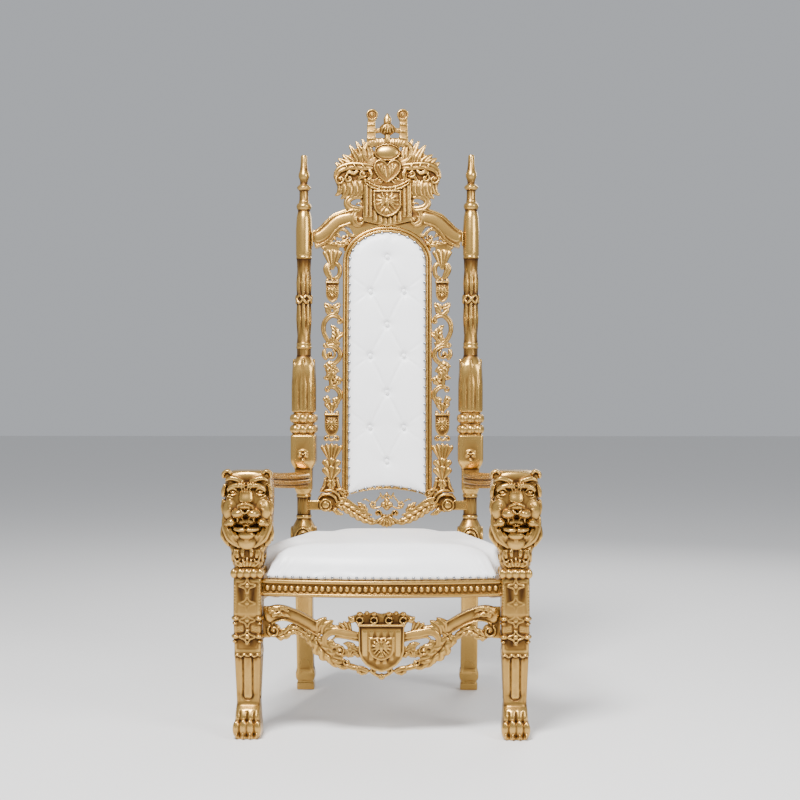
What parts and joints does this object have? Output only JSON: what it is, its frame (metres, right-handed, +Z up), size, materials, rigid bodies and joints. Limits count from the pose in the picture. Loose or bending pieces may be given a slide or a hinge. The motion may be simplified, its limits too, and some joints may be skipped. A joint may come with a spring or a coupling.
{
  "type": "carved high-backed throne",
  "caption": "Tall gold-painted carved wooden throne with lion-headed front legs, turned back posts, a crested pierced back and white upholstery.",
  "frame": {"origin": "on the floor, under the middle of the throne's whole outline", "axes": "+Z up, +X to the viewer's right when the throne is seen from the front, the front faces -Y"},
  "size_m": [0.851, 0.7478, 1.8083],
  "materials": {
    "gilded_wood": "carved wood in antique metallic gold paint, satin, darker brown in the recesses",
    "white_leather": "smooth white artificial leather, slight sheen",
    "nail_heads": "polished nickel-plated upholstery nail heads"
  },
  "bodies": {
    "root": {"front_leg_right": "gilded_wood", "front_leg_left": "gilded_wood", "back_post_right": "gilded_wood", "back_post_left": "gilded_wood", "arm_right": "gilded_wood", "arm_left": "gilded_wood", "front_rail": "gilded_wood", "side_rail_right": "gilded_wood", "side_rail_left": "gilded_wood", "rear_rail": "gilded_wood", "front_apron": "gilded_wood", "side_apron_right": "gilded_wood", "side_apron_left": "gilded_wood", "seat_cushion": "white_leather", "back_frame": "gilded_wood", "crest_rail": "gilded_wood", "lower_rail": "gilded_wood", "pierced_strip_right": "gilded_wood", "pierced_strip_left": "gilded_wood", "back_pad": "white_leather", "back_cover": "white_leather", "button_1": "white_leather", "button_2": "white_leather", "button_3": "white_leather", "button_4": "white_leather", "button_5": "white_leather", "button_6": "white_leather", "button_7": "white_leather", "button_8": "white_leather", "button_9": "white_leather", "button_10": "white_leather"}
  },
  "joints": []
}
